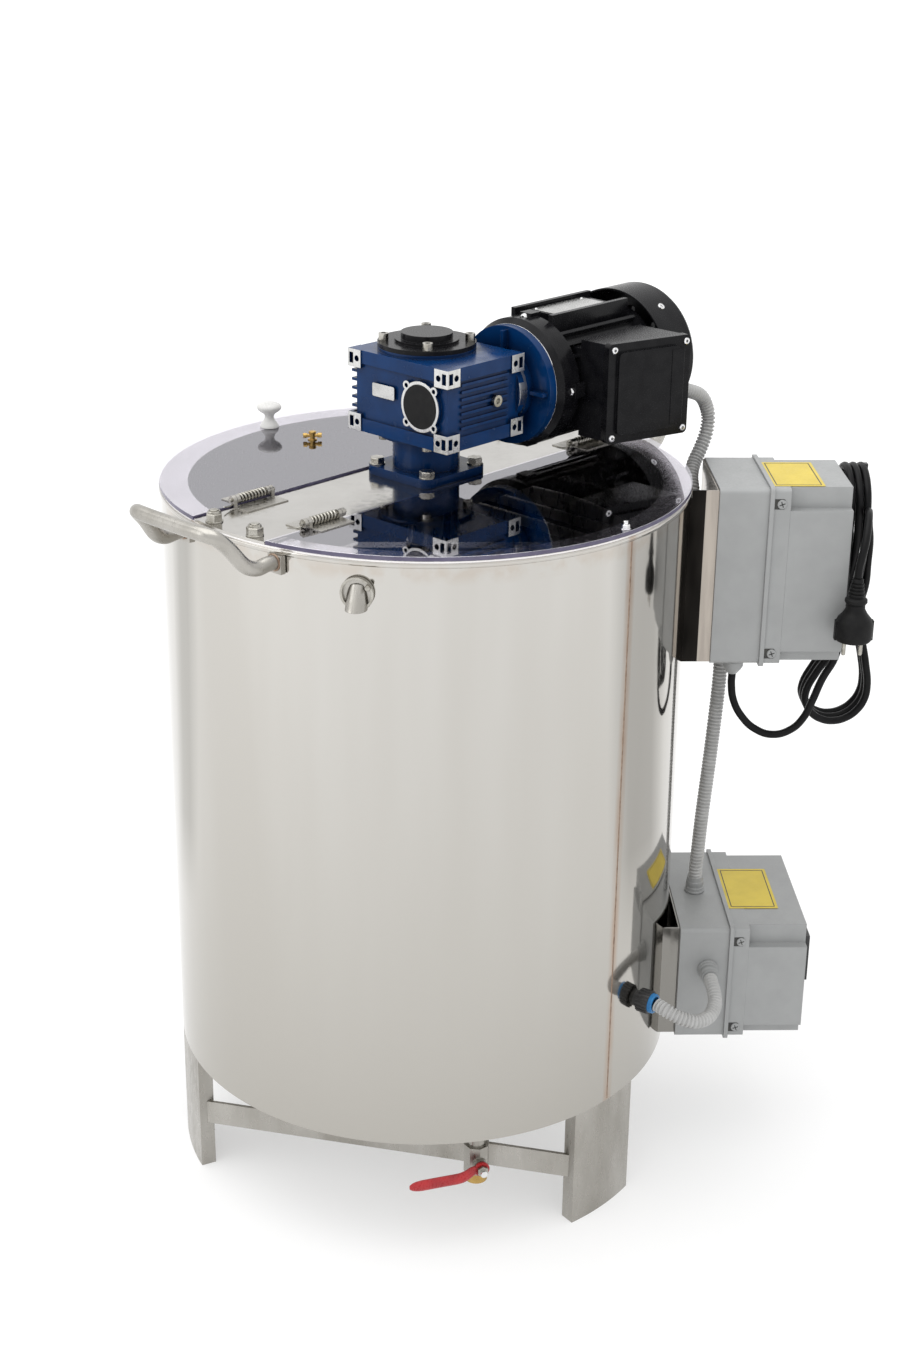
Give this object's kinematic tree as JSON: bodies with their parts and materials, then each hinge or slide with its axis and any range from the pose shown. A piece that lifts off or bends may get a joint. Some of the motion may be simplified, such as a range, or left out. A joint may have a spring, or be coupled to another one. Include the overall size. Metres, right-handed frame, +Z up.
{
  "type": "honey extractor",
  "caption": "Jacketed steel drum on curved legs with a worm-gear motor on its bridge, clear hinged lids, a comb-frame basket, side control boxes and a mains lead.",
  "frame": {"origin": "on the tank's axis, on the plane of the feet", "axes": "+Z up along the tank's axis, +X along the bridge towards the motor, +Y to the left lid"},
  "size_m": [0.8099, 0.7657, 1.027],
  "materials": {
    "polished_steel": "polished sheet",
    "brushed_steel": "satin",
    "zinc_fasteners": "zinc plated",
    "ground_steel": "ground",
    "chrome": "plated",
    "brass": "machined",
    "bronze": "machined",
    "dark_iron": "bare laminations",
    "blue_paint": "gloss casting paint",
    "black_paint": "satin",
    "red_vinyl": "dipped vinyl",
    "clear_plastic": "clear acrylic",
    "white_plastic": "gloss",
    "grey_plastic": "fine moulded grain",
    "grey_conduit": "smooth",
    "black_plastic": "moulded",
    "black_rubber": "matte",
    "cord_rubber": "matte"
  },
  "bodies": {
    "tank": {"tank_shell": "polished_steel", "tank_bottom": "polished_steel", "inner_drum": "polished_steel", "jacket_ring": "polished_steel", "front_leg": "brushed_steel", "left_leg": "brushed_steel", "right_leg": "brushed_steel", "leg_braces": "brushed_steel", "left_handle": "brushed_steel", "right_handle": "brushed_steel", "overflow_spout": "brushed_steel", "bridge": "polished_steel", "bridge_bolts": "zinc_fasteners", "honey_outlet": "brushed_steel", "gate_screws": "zinc_fasteners", "drain_valve_body": "brushed_steel", "drain_outlet": "brass", "heating_element": "brushed_steel", "heater_coupling": "black_plastic", "hinge_fixed_leaves": "brushed_steel", "hinge_pins": "zinc_fasteners", "gearbox_housing": "blue_paint", "gearbox_cover": "black_paint", "gearbox_screws": "zinc_fasteners", "mounting_flange": "blue_paint", "worm_cap": "black_rubber", "shaft_bearings": "ground_steel", "motor_flange": "blue_paint", "motor_housing": "black_paint", "motor_stator": "dark_iron", "fan_cover": "black_paint", "terminal_box": "black_paint", "terminal_cover": "black_paint", "foot_bearing": "white_plastic", "upper_box_base": "grey_plastic", "upper_box_cover": "grey_plastic", "lower_box_base": "grey_plastic", "lower_box_cover": "grey_plastic", "box_brackets": "polished_steel", "box_controls": "black_plastic", "conduits": "grey_conduit", "mains_cord": "cord_rubber", "cord_hank": "cord_rubber", "mains_plug": "cord_rubber"},
    "left_lid": {"left_lid": "clear_plastic", "lid_knob": "white_plastic", "left_hinge_leaves": "brushed_steel"},
    "right_lid": {"right_lid": "clear_plastic", "right_hinge_leaves": "brushed_steel"},
    "basket": {"basket_shaft": "brushed_steel", "basket_frame": "brushed_steel", "frame_cages": "brushed_steel", "worm_wheel": "bronze"},
    "rotor": {"worm_shaft": "ground_steel", "motor_rotor": "dark_iron", "motor_fan": "black_plastic"},
    "drain_valve": {"drain_ball": "chrome", "drain_lever": "red_vinyl"},
    "honey_gate": {"gate_blade": "brushed_steel"},
    "rocker": {"rocker_switch": "black_plastic"}
  },
  "joints": [
    {"name": "left_lid_hinge", "type": "hinge", "parent": "tank", "child": "left_lid", "pos_m": [0, 0.0562, 0.8568], "axis": [1, 0, 0], "range_deg": [0, 84]},
    {"name": "right_lid_hinge", "type": "hinge", "parent": "tank", "child": "right_lid", "pos_m": [0, -0.0562, 0.8568], "axis": [-1, 0, 0], "range_deg": [0, 12]},
    {"name": "basket_spin", "type": "hinge", "parent": "tank", "child": "basket", "pos_m": [0, 0, 0.5], "axis": [0, 0, 1], "continuous": true},
    {"name": "rotor_spin", "type": "hinge", "parent": "tank", "child": "rotor", "pos_m": [0.15, -0.05, 0.946], "axis": [1, 0, 0], "continuous": true},
    {"name": "drain_valve_turn", "type": "hinge", "parent": "tank", "child": "drain_valve", "pos_m": [-0.13778, -0.22049, 0.1], "axis": [-0.5299, -0.848, 0], "range_deg": [0, 90]},
    {"name": "honey_gate_turn", "type": "hinge", "parent": "tank", "child": "honey_gate", "pos_m": [0.046, 0.328, 0.226], "axis": [0, 1, 0], "range_deg": [0, 85]},
    {"name": "rocker_tip", "type": "hinge", "parent": "tank", "child": "rocker", "pos_m": [0.34217, -0.30823, 0.276], "axis": [0.7071, 0.7071, 0], "range_deg": [-8, 8]}
  ],
  "couplings": [
    {"joint": "rotor_spin", "follows": "basket_spin", "ratio": 7.5}
  ]
}
